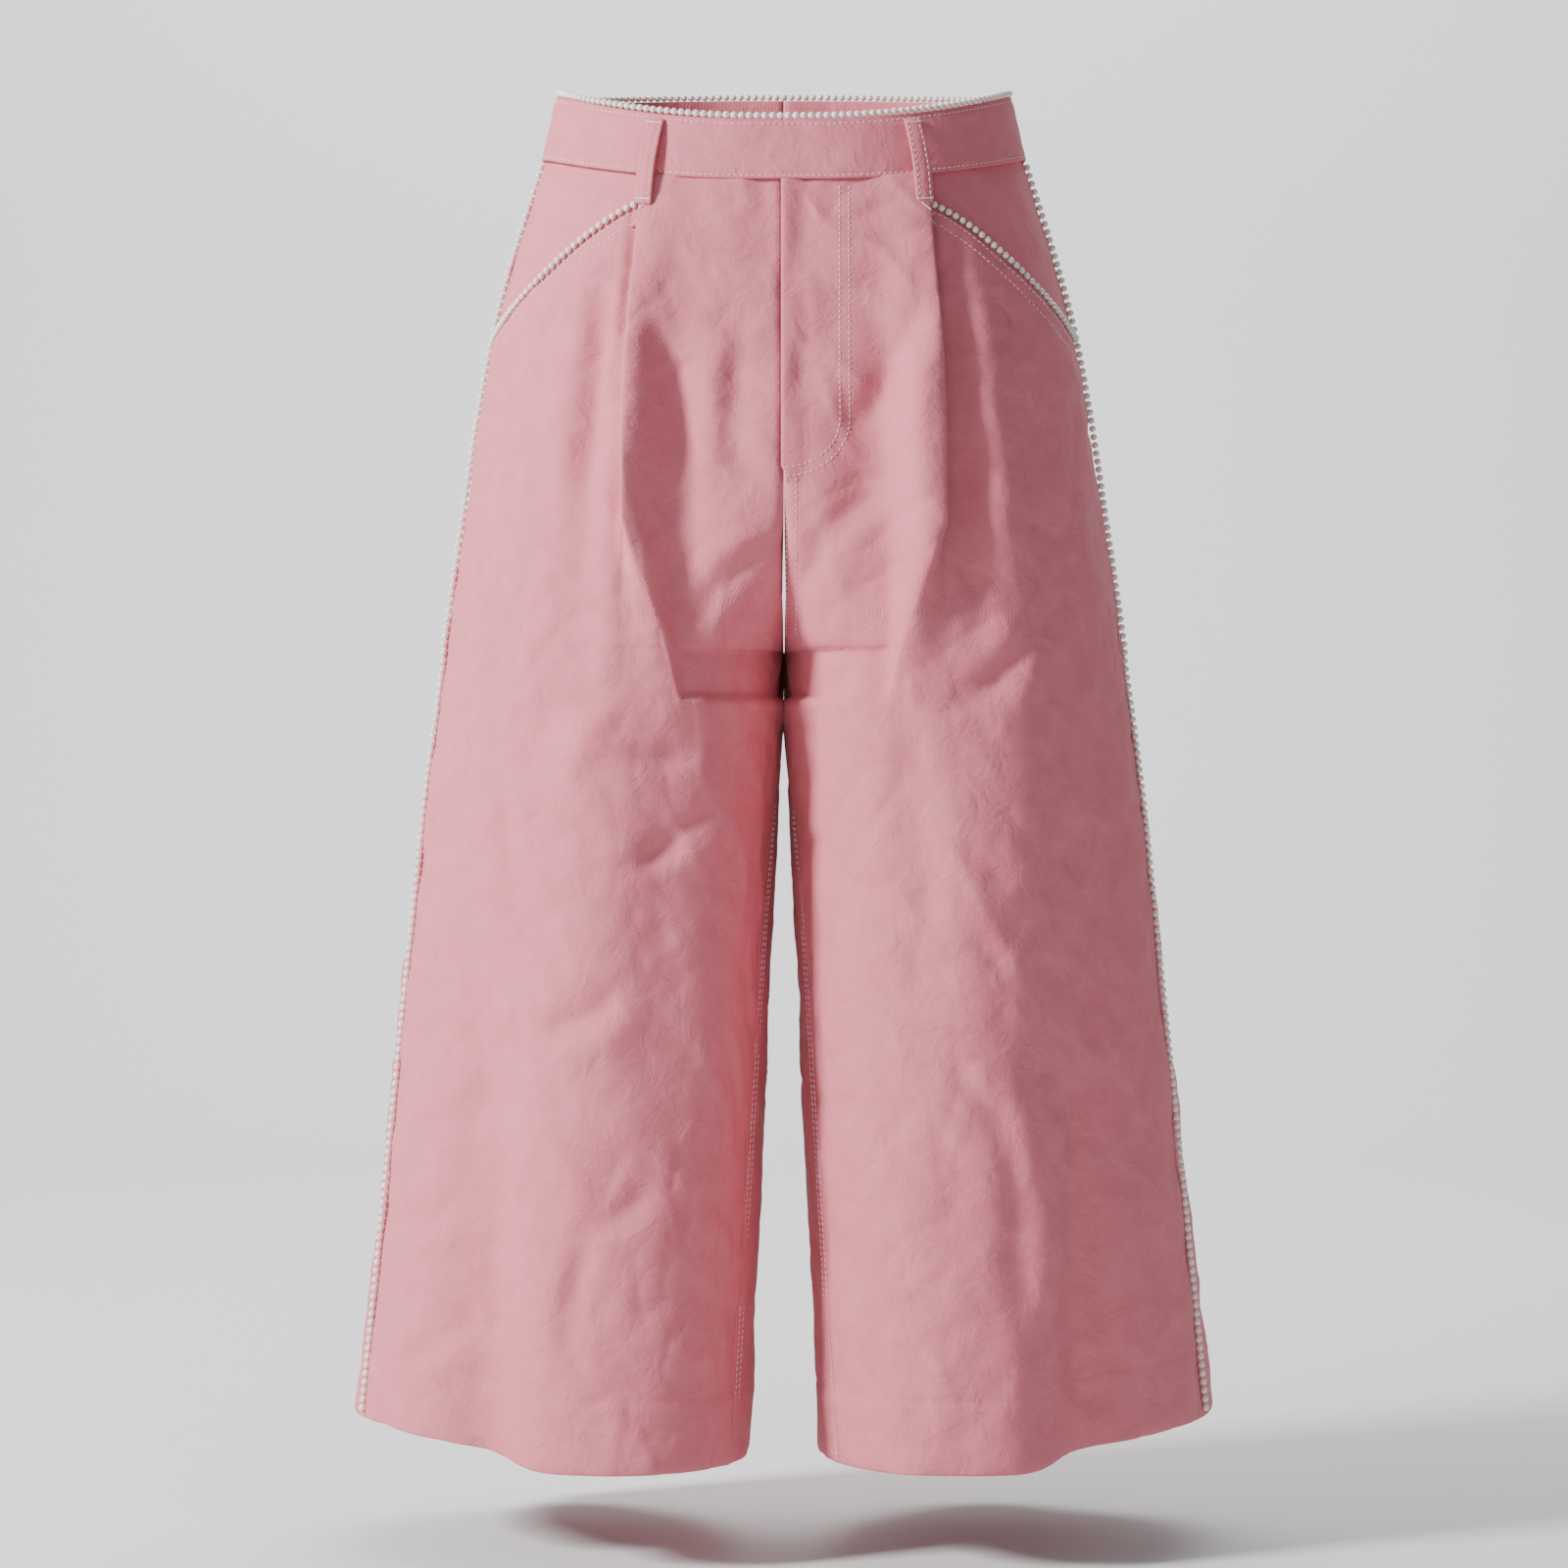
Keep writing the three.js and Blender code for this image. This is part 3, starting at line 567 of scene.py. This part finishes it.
def panel_grid(side, part):
    """Points of a leg panel and the outward direction at each."""
    grids = []
    table, crease_table = (FRONT_FOLDS, FRONT_CREASES) if part == "front" else (BACK_FOLDS, BACK_CREASES)
    for level, sink in panel_levels():
        row, front, back = outline(level)
        walk = front if part == "front" else back
        s, n = front_profile(side, level, row, walk) if part == "front" else back_profile(level, row, walk)
        point, out = walk.at(s)
        shown = smooth(out[:, 1] * (-1 if part == "front" else 1), 0, 0.5)
        n = n + shown * folds(table, side, level, point[:, 0])
        z = level + drop(row, point[:, 0], point[:, 1])
        hem_line = 0.45 * math.exp(-(((level - HEM - HEM_TURN) / 1.6) ** 2)) if not sink else 0
        swell = 0.35 if level < HEM + HEM_TURN and not sink else 0
        columns = [point[:, 0], point[:, 1], z, out[:, 0], out[:, 1], n - sink + swell - hem_line, s, shown]
        grids.append(np.stack(columns + [np.full_like(s, level)], axis=-1))
    grid = np.array(grids)
    x, y, z, out_x, out_y, n, s, shown, levels = np.moveaxis(grid, -1, 0)
    n = n + shown * creases(crease_table, side, x, z)
    base = np.stack([side * x, y, z], axis=-1)
    small = ripple(base, 40, 1.6) + ripple(base, 13, 0.5)
    small += (
        crumple(base, 0.6, 34, 1.5)
        - crumple(base + 200, -0.9, 26, 1.3)
        - crumple(base + 500, 0.2, 19, 0.6)
    )
    near_centre = np.where(levels > CROTCH, smooth(x, 0, 9), 1)
    n = n + near_centre * small
    pucker = np.clip(1 - (WAIST_SEAM - levels) / 22, 0, 1)
    n = n + pucker * ripple(np.stack([s, np.zeros_like(s), levels / 4], axis=-1), 7, 0.5)
    out = np.stack([side * out_x, out_y, np.zeros_like(out_x)], axis=-1)
    uv = np.stack([s, levels], axis=-1)
    return base + out * n[..., None], out, uv


def leg_panel(side, part):
    points, out, uv = panel_grid(side, part)
    piece = cloth_object(f"{part}_{NAMES[side]}_cloth", points, uv)
    face_out(piece, out.reshape(-1, 3)[: len(piece.data.vertices)])
    shell(piece, CLOTH)
    return piece


def pocket_bearer(side):
    """The hip piece that shows above the pocket mouth."""
    columns, rows = 30, 34
    top = WAIST_SEAM + 1.2
    shares = np.linspace(0, 1, columns)

    def spot(level, share):
        row, walk, _ = outline(level)
        pleat_x = read(PLEAT_COLUMNS, PLEAT, level)["x"]
        start = walk.first(lambda x, y: x - pleat_x) - BEARER_UNDER
        s = lerp(start, walk.length - SEAM_GAP / 2, share)
        (x, y), out = walk.at(s)
        return x, y, level + float(drop(row, x, y)), out, s, walk.length - s

    def foot(share):
        high, low = top, MOUTH_END[1] - BEARER_UNDER
        for _ in range(12):
            level = round((high + low) / 2, 2)
            x, _, z, *_ = spot(level, share)
            if z > mouth_z(x) - BEARER_UNDER:
                high = level
            else:
                low = level
        return low

    feet = [foot(share) for share in shares]
    points = np.zeros((rows, columns, 3))
    out_all, uv = np.zeros_like(points), np.zeros((rows, columns, 2))
    for i in range(rows):
        for j, share in enumerate(shares):
            level = round(lerp(top, feet[j], i / (rows - 1)), 2)
            x, y, z, out, s, to_seam = spot(level, share)
            n = -BEARER_SINK * float(smooth(to_seam, 0, 12))
            n += float(folds(FRONT_FOLDS, side, level, np.array([x]))[0])
            n += 0.5 * noise.noise(Vector((x, y, z)) / 18)
            points[i, j] = side * (x + out[0] * n), y + out[1] * n, z
            out_all[i, j] = side * out[0], out[1], 0
            uv[i, j] = s, level
    piece = cloth_object(f"pocket_bearer_{NAMES[side]}_cloth", points, uv)
    face_out(piece, out_all.reshape(-1, 3))
    shell(piece, CLOTH)
    return piece


# ---- Waistband and belt loops --------------------------------------------------------------------

BAND_TOP_ROW, BAND_FOOT_ROW = WAIST_TOP - 2.7, WAIST_SEAM + 2.2


def band_n(level):
    """How far the band's face stands out: padded between the two rows of stitching, rolled at its foot."""
    drawn = sum(0.55 * math.exp(-(((level - row) / 1.1) ** 2)) for row in (BAND_TOP_ROW, BAND_FOOT_ROW))
    return BAND_WALL + 0.35 - drawn


def band_profile():
    edge = 1.2
    loop = []
    for angle in np.linspace(180, 0, 7):
        a = math.radians(angle)
        loop.append((WAIST_TOP - edge + edge * math.sin(a), edge + edge * math.cos(a)))
    for level in np.linspace(WAIST_TOP - edge, WAIST_SEAM + edge, 30)[1:-1]:
        loop.append((level, band_n(level)))
    for angle in np.linspace(0, -180, 7):
        a = math.radians(angle)
        loop.append((WAIST_SEAM + edge + edge * math.sin(a), edge + edge * math.cos(a) * 1.15))
    loop += [(level, 0.0) for level in np.linspace(WAIST_SEAM + edge, WAIST_TOP - edge, 9)[1:-1]]
    return loop


def waist_ring(level, n, steps, lift=0.0):
    """Points round the waist at a level, from the centre back by the wearer's right side and front."""
    row, front, back = outline(level)
    half = []
    for walk in (back, front):
        point, out = walk.at((1 - np.linspace(0, 1, steps + 1)) * walk.length)
        z = level + drop(row, point[:, 0], point[:, 1]) + lift
        half.append(np.column_stack([point + out * n, z]))
    behind, ahead = half
    one_side = np.vstack([behind[:-1], ahead])
    right = one_side * (-1, 1, 1)
    left = one_side[::-1]
    ring = np.vstack([right[:-1], left])
    ring[len(right) - 1, 0] = 0
    return ring


def waistband():
    rings = [waist_ring(level, n, 46) for level, n in band_profile()]
    points = np.array(rings).transpose(1, 0, 2)
    around = np.concatenate([[0], np.cumsum(np.linalg.norm(np.diff(points[:, 0], axis=0), axis=1))])
    levels = np.array([level for level, _ in band_profile()])
    uv = np.stack(np.broadcast_arrays(around[:, None], levels[None, :]), axis=-1)
    middle = points.mean(axis=1, keepdims=True)
    away = points - middle
    outer = away / np.maximum(np.linalg.norm(away, axis=-1, keepdims=True), 1e-6)
    crumple = ripple(points, 9, 0.35) + ripple(points, 30, 0.5)
    radial = middle * (1, 1, 0) / np.linalg.norm(middle[..., :2], axis=-1, keepdims=True)
    points = points + radial * crumple[..., None]
    piece = cloth_object("waistband_cloth", points, uv, closed=True, caps=True)
    face_out(piece, outer.reshape(-1, 3))
    return piece


def loop_line(side, part, t, across, offset):
    """A point of a belt loop: t from its head to its foot, across its width, offset out of its middle."""
    level = lerp(LOOP_TOP, LOOP_FOOT, t)
    row, front, back = outline(round(level, 2))
    walk = front if part == "front" else back
    x_here = lerp(LOOP_X_TOP, LOOP_X_FOOT, t)
    if part == "front":
        middle = walk.first(lambda x, y: x - x_here)
    else:
        middle = walk.first(lambda x, y: x_here - x, walk.length / 2)
    head = BAND_WALL + 0.5 + LOOP_WALL / 2
    foot = head + 0.4 if part == "front" else 2.0
    n = max(lerp(head, foot, t), head if t < 0.75 else 0) + LOOP_BOW * math.sin(math.pi * t) ** 0.8
    (x, y), out = walk.at(middle + across)
    n += offset
    z = level + float(drop(row, x, y))
    return np.array([side * (x + out[0] * n), y + out[1] * n, z]), np.array([side * out[0], out[1], 0])


def belt_loop(side, part):
    half, thick = LOOP_WIDTH / 2, LOOP_WALL / 2
    across = np.array([-1, -0.9, -0.72, -0.6, -0.45, 0, 0.45, 0.6, 0.72, 0.9, 1]) * half
    face = np.array([0.0, 0.75, 1, 0.7, 1, 1.12, 1, 0.7, 1, 0.75, 0.0]) * thick
    under = np.array([-0.7, -1, -1, -1, -0.7]) * thick
    around = list(zip(across, face)) + list(zip(np.linspace(half, -half, 7)[1:-1] * 0.97, under))
    rows = np.linspace(0, 1, 46)
    points, outs, uv = [], [], []
    for t in rows:
        ends = 1 - 0.12 * (math.exp(-((t / 0.02) ** 2)) + math.exp(-(((1 - t) / 0.02) ** 2)))
        made = [loop_line(side, part, t, a * ends, o * ends) for a, o in around]
        points.append([p for p, _ in made])
        outs.append([normal * o for (_, normal), (_, o) in zip(made, around)])
        uv.append([(a, t * 50) for a, _ in around])
    name = f"belt_loop_{part}_{NAMES[side]}_cloth"
    piece = cloth_object(name, np.array(points), np.array(uv, float), closed=True, caps=True)
    face_out(piece, np.array(outs).reshape(-1, 3))
    return piece


# ---- Pearls and stitching ------------------------------------------------------------------------


def node_tree(name, inputs):
    """A geometry tree with a mesh of lines coming in, named inputs for sizes, and a mesh going out."""
    tree = bpy.data.node_groups.new(name, "GeometryNodeTree")
    new = tree.interface.new_socket
    new("Lines", in_out="INPUT", socket_type="NodeSocketGeometry")
    for key, kind in inputs.items():
        new(key, in_out="INPUT", socket_type=kind)
    new("Mesh", in_out="OUTPUT", socket_type="NodeSocketGeometry")
    return tree, tree.nodes.new("NodeGroupInput"), tree.nodes.new("NodeGroupOutput")


def beads_tree():
    """Pearls side by side along each line."""
    sizes = {key: "NodeSocketFloat" for key in ("Pearl radius", "Spacing")}
    tree, given, result = node_tree("pearls on a line", {**sizes, "Finish": "NodeSocketMaterial"})
    add, link = tree.nodes.new, tree.links.new
    curve, spots = add("GeometryNodeMeshToCurve"), add("GeometryNodeCurveToPoints")
    spots.mode = "LENGTH"
    ball, soft = add("GeometryNodeMeshIcoSphere"), add("GeometryNodeSetShadeSmooth")
    ball.inputs["Subdivisions"].default_value = 3
    copies, real = add("GeometryNodeInstanceOnPoints"), add("GeometryNodeRealizeInstances")
    finish = add("GeometryNodeSetMaterial")
    link(given.outputs["Lines"], curve.inputs[0])
    link(curve.outputs[0], spots.inputs["Curve"])
    link(given.outputs["Spacing"], spots.inputs["Length"])
    link(given.outputs["Pearl radius"], ball.inputs["Radius"])
    link(ball.outputs["Mesh"], soft.inputs[0])
    link(spots.outputs["Points"], copies.inputs["Points"])
    link(soft.outputs[0], copies.inputs["Instance"])
    link(copies.outputs[0], real.inputs[0])
    link(real.outputs[0], finish.inputs["Geometry"])
    link(given.outputs["Finish"], finish.inputs["Material"])
    link(finish.outputs[0], result.inputs["Mesh"])
    return tree


def stitches_tree():
    """Short stitches end to end along each line, half sunk in the cloth."""
    sizes = {key: "NodeSocketFloat" for key in ("Stitch length", "Thread", "Pitch")}
    tree, given, result = node_tree("stitches on a line", {**sizes, "Finish": "NodeSocketMaterial"})
    add, link = tree.nodes.new, tree.links.new
    curve, spots = add("GeometryNodeMeshToCurve"), add("GeometryNodeCurveToPoints")
    spots.mode = "LENGTH"
    ball, size = add("GeometryNodeMeshUVSphere"), add("ShaderNodeCombineXYZ")
    shaped = add("GeometryNodeTransform")
    ball.inputs["Segments"].default_value = 6
    ball.inputs["Rings"].default_value = 5
    ball.inputs["Radius"].default_value = 0.5
    soft, turn = add("GeometryNodeSetShadeSmooth"), add("FunctionNodeAlignRotationToVector")
    turn.axis = "X"
    copies, real = add("GeometryNodeInstanceOnPoints"), add("GeometryNodeRealizeInstances")
    finish = add("GeometryNodeSetMaterial")
    link(given.outputs["Lines"], curve.inputs[0])
    link(curve.outputs[0], spots.inputs["Curve"])
    link(given.outputs["Pitch"], spots.inputs["Length"])
    link(given.outputs["Stitch length"], size.inputs["X"])
    link(given.outputs["Thread"], size.inputs["Y"])
    link(given.outputs["Thread"], size.inputs["Z"])
    link(ball.outputs["Mesh"], shaped.inputs["Geometry"])
    link(size.outputs[0], shaped.inputs["Scale"])
    link(shaped.outputs[0], soft.inputs[0])
    link(spots.outputs["Tangent"], turn.inputs["Vector"])
    link(spots.outputs["Points"], copies.inputs["Points"])
    link(soft.outputs[0], copies.inputs["Instance"])
    link(turn.outputs[0], copies.inputs["Rotation"])
    link(copies.outputs[0], real.inputs[0])
    link(real.outputs[0], finish.inputs["Geometry"])
    link(given.outputs["Finish"], finish.inputs["Material"])
    link(finish.outputs[0], result.inputs["Mesh"])
    return tree


def along_lines(name, tree, lines, **values):
    """Runs a tree on lines of points in mm and keeps the result as a plain mesh."""
    points, edges = [], []
    for line in lines:
        first = len(points)
        points += [tuple(float(c) * MM for c in p) for p in line]
        edges += [(first + i, first + i + 1) for i in range(len(line) - 1)]
    mesh = bpy.data.meshes.new(name + " lines")
    mesh.from_pydata(points, edges, [])
    piece = bpy.data.objects.new(name, mesh)
    bpy.context.collection.objects.link(piece)
    grown = piece.modifiers.new(name, "NODES")
    grown.node_group = tree
    for item in tree.interface.items_tree:
        if item.in_out == "INPUT" and item.name in values:
            grown[item.identifier] = values[item.name]
    graph = bpy.context.evaluated_depsgraph_get()
    made = bpy.data.meshes.new_from_object(piece.evaluated_get(graph))
    piece.modifiers.clear()
    piece.data = made
    made.name = name
    return piece


def surface_of(piece):
    graph = bpy.context.evaluated_depsgraph_get()
    return BVHTree.FromObject(piece, graph)


def laid_on(surface, line, off, ahead=True):
    """A line given by x and z, laid on a surface seen from the front (or the back), off mm clear of it."""
    way = Vector((0, 1, 0)) if ahead else Vector((0, -1, 0))
    laid = []
    for x, z in line:
        hit, normal, _, _ = surface.ray_cast(Vector((x * MM, -way.y, z * MM)), way)
        if hit:
            if normal.dot(way) > 0:
                normal = -normal
            laid.append(tuple((hit + normal * off * MM) / MM))
    return laid


def even(line, step=2.0):
    """The same line with points every step mm."""
    line = np.array(line, float)
    far = np.concatenate([[0], np.cumsum(np.linalg.norm(np.diff(line, axis=0), axis=1))])
    at = np.linspace(0, far[-1], max(int(far[-1] / step), 2))
    return np.column_stack([np.interp(at, far, line[:, k]) for k in range(line.shape[1])])


def mouth_line(side, shift, start=0.0, stop=1.0):
    """The pocket mouth in x and z, moved shift mm up out of the panel."""
    line = []
    for x in np.linspace(lerp(MOUTH_TOP[0], MOUTH_END[0], start), lerp(MOUTH_TOP[0], MOUTH_END[0], stop), 40):
        slope = float(mouth_z(x + 1) - mouth_z(x - 1)) / 2
        size = math.hypot(1, slope)
        line.append((side * (x - shift * slope / size), float(mouth_z(x)) + shift / size))
    return line


def hook(x, straight_to, foot, start=-42.0):
    """The fly's hooked row: straight down at x, then round to the centre front."""
    line = [(x, z) for z in np.linspace(start, straight_to, 40)]
    for a in np.linspace(0, 86, 24)[1:]:
        a = math.radians(a)
        line.append((x * math.cos(a), straight_to + (foot - straight_to) * math.sin(a)))
    return line


def seam_row(side, from_inseam, top, foot):
    """A row of points beside the inseam, on the back panel."""
    line = []
    for level in np.arange(top, foot, -4.0):
        row, _, back = outline(level)
        s = back.length - from_inseam
        (x, y), out = back.at(s)
        n = CLOTH / 2 + 0.15
        line.append((side * (x + out[0] * n), y + out[1] * n, level + float(drop(row, x, y))))
    return line


# ---- Putting it together -------------------------------------------------------------------------

band = waistband()
panels = {(side, part): leg_panel(side, part) for side in (LEFT, RIGHT) for part in ("front", "back")}
bearers = {side: pocket_bearer(side) for side in (LEFT, RIGHT)}
loops = {(side, part): belt_loop(side, part) for side in (LEFT, RIGHT) for part in ("front", "back")}

BEADS, STITCHES = beads_tree(), stitches_tree()
bead_values = {"Pearl radius": PEARL / 2 * MM, "Finish": PEARLY}
stitch_values = {"Stitch length": STITCH * MM, "Thread": THREAD * MM, "Pitch": PITCH * MM, "Finish": SEWING}

pearls = {}
edge_ring = waist_ring(WAIST_TOP, BAND_WALL / 2, 46, PEARL / 2 + 0.1)
pearls["waist_pearls"] = along_lines(
    "waist_pearls_beads", BEADS, [edge_ring], Spacing=WAIST_SPACING * MM, **bead_values
)
for side in (LEFT, RIGHT):
    line = []
    for level in np.arange(WAIST_SEAM - 3.2, HEM + 1.5, -4.0):
        row, _, back = outline(level)
        (x, y), out = back.at(0.0)
        n = CLOTH / 2 + PEARL / 2 - 0.3
        n += float(folds(FRONT_FOLDS, side, level, np.array([x]))[0]) if level < CROTCH else 0
        line.append((side * (x + out[0] * n), y + out[1] * n, level + float(drop(row, x, y))))
    key = f"side_pearls_{NAMES[side]}"
    pearls[key] = along_lines(key + "_beads", BEADS, [line], Spacing=SIDE_SPACING * MM, **bead_values)
    above_mouth = mouth_line(side, PEARL / 2 + 0.2, 0.03, 0.985)
    on_bearer = laid_on(surface_of(bearers[side]), above_mouth, PEARL / 2 - 0.2)
    key = f"pocket_pearls_{NAMES[side]}"
    pearls[key] = along_lines(key + "_beads", BEADS, [on_bearer], Spacing=POCKET_SPACING * MM, **bead_values)

rows, tacks = [], []
for level in (BAND_TOP_ROW, BAND_FOOT_ROW):
    rows.append(waist_ring(level, band_n(level) + 0.2, 46))
for side in (LEFT, RIGHT):
    cloth = surface_of(panels[side, "front"])
    for shift in (-1.1, -6.5):
        rows.append(laid_on(cloth, even(mouth_line(side, shift, 0.05, 0.97)), 0.15))
    for from_inseam in (2.0, 7.4):
        rows.append(seam_row(side, from_inseam, CROTCH - 10, HEM + 2))
    tack = [(side * x, z) for x, z in ((76, -50), (82.5, -55.5))]
    tacks.append(laid_on(cloth, even(tack, 1.0), 0.3))
    for part in ("front", "back"):
        for across in (-0.6, 0.6):
            aside, off = across * LOOP_WIDTH / 2, LOOP_WALL / 2 - 0.05
            down = np.linspace(0.04, 0.95, 40)
            rows.append([loop_line(side, part, t, aside, off)[0] for t in down])
        for t in (0.05, 0.94):
            wide = np.linspace(-0.42, 0.42, 8) * LOOP_WIDTH
            tacks.append([loop_line(side, part, t, a, LOOP_WALL / 2 + 0.1)[0] for a in wide])
fly_cloth = surface_of(panels[LEFT, "front"])
rows.append(laid_on(fly_cloth, even(hook(30.6, -170.6, -197)), 0.15))
rows.append(laid_on(fly_cloth, even(hook(35.8, -170.6, -202)), 0.15))
for x in (1.4, 6.6):
    rows.append(laid_on(fly_cloth, even([(x, -204), (x, -287)]), 0.15))
rows = [row for row in rows if len(row) > 2]
tacks = [row for row in tacks if len(row) > 2]
topstitching = along_lines("topstitching", STITCHES, rows, **stitch_values)
stitch_values.update({"Pitch": 0.55 * MM, "Stitch length": 1.1 * MM, "Thread": 0.75 * MM})
bar_tacks = along_lines("bar_tacks", STITCHES, tacks, **stitch_values)


for (side, part), piece in panels.items():
    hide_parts(f"{part}_{NAMES[side]}")
for side, piece in bearers.items():
    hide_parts(f"pocket_bearer_{NAMES[side]}")
for (side, part), piece in loops.items():
    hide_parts(f"belt_loop_{part}_{NAMES[side]}")
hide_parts("waistband")
for node, piece in pearls.items():
    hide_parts(node)
cotton_pieces = [band, *panels.values(), *bearers.values(), *loops.values(), topstitching, bar_tacks]
for piece in [*cotton_pieces, *pearls.values()]:
    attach(piece, "root")

# ---- Camera, lights and floor --------------------------------------------------------------------


def camera():
    data = bpy.data.cameras.new("camera")
    data.lens, data.sensor_width = 100.4, 36
    made = bpy.data.objects.new("camera", data)
    made.location = (0, -2.5, -0.370)
    made.rotation_euler = (math.radians(90), 0, 0)
    bpy.context.collection.objects.link(made)
    bpy.context.scene.camera = made


def lamp(name, at, target, size, power, colour=(1, 1, 1)):
    data = bpy.data.lights.new(name, "AREA")
    data.size, data.energy, data.color = size, power, colour
    made = bpy.data.objects.new(name, data)
    made.location = at
    made.rotation_euler = (Vector(target) - Vector(at)).to_track_quat("-Z", "Y").to_euler()
    bpy.context.collection.objects.link(made)


def studio_floor():
    """A pale floor that curves up into the wall behind."""
    level, start, bend = -0.80, 2.4, 1.2
    line = [(-5.0, level), (start, level)]
    for a in np.linspace(0, math.pi / 2, 16)[1:]:
        line.append((start + bend * math.sin(a), level + bend * (1 - math.cos(a))))
    line.append((start + bend, level + 5))
    points = [(x, y, z) for y, z in line for x in (-6, 6)]
    faces = [(2 * i, 2 * i + 1, 2 * i + 3, 2 * i + 2) for i in range(len(line) - 1)]
    mesh = bpy.data.meshes.new("floor")
    mesh.from_pydata(points, [], faces)
    mesh.shade_smooth()
    material, _, _ = new_material("pale floor", Roughness=0.95)
    material.node_tree.nodes["Principled BSDF"].inputs["Base Color"].default_value = (0.74, 0.74, 0.74, 1)
    mesh.materials.append(material)
    made = bpy.data.objects.new("floor", mesh)
    bpy.context.collection.objects.link(made)


def daylight():
    world = bpy.data.worlds.new("studio")
    world.use_nodes = True
    world.node_tree.nodes["Background"].inputs["Color"].default_value = (0.9, 0.92, 0.95, 1)
    world.node_tree.nodes["Background"].inputs["Strength"].default_value = 0.29
    bpy.context.scene.world = world


camera()
studio_floor()
daylight()
TARGET = (0, 0, -0.35)
lamp("key", (-2.4, -1.35, 1.0), TARGET, 0.55, 185)
lamp("fill", (-0.6, -3.2, 0.6), TARGET, 1.2, 9)
lamp("wall light", (0, 1.4, 2.4), (0, 3.6, 0.0), 2.5, 150)
